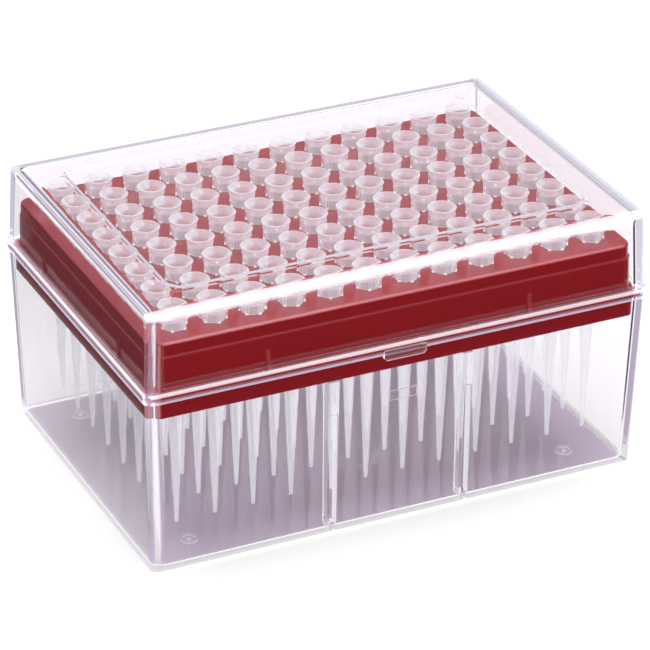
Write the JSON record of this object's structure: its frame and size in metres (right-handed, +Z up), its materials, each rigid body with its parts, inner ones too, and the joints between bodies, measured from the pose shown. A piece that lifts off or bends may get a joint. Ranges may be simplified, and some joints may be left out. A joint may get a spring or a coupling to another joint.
{
  "type": "box of pipette tips",
  "caption": "Clear hinged box holding a full grid of translucent pipette tips in a dark red rack insert.",
  "frame": {"origin": "centre of the base's underside, on the surface that the box stands on", "axes": "+X along the long side to the right, +Z up, so the thumb tab faces -Y and the hinge is at +Y"},
  "size_m": [0.1194, 0.0877, 0.0632],
  "materials": {
    "clear_styrene": "polished",
    "red_rack": "satin",
    "natural_tip": "frosted"
  },
  "bodies": {
    "box": {"base_box": "clear_styrene", "rack_insert": "red_rack", "tips_col_01": "natural_tip", "tips_col_02": "natural_tip", "tips_col_03": "natural_tip", "tips_col_04": "natural_tip", "tips_col_05": "natural_tip", "tips_col_06": "natural_tip", "tips_col_07": "natural_tip", "tips_col_08": "natural_tip", "tips_col_09": "natural_tip", "tips_col_10": "natural_tip", "tips_col_11": "natural_tip", "tips_col_12": "natural_tip"},
    "lid": {"lid": "clear_styrene"}
  },
  "joints": [
    {"name": "lid_hinge", "type": "hinge", "parent": "box", "child": "lid", "pos_m": [0, 0.04395, 0.0424], "axis": [-1, 0, 0], "range_deg": [0, 105]}
  ]
}
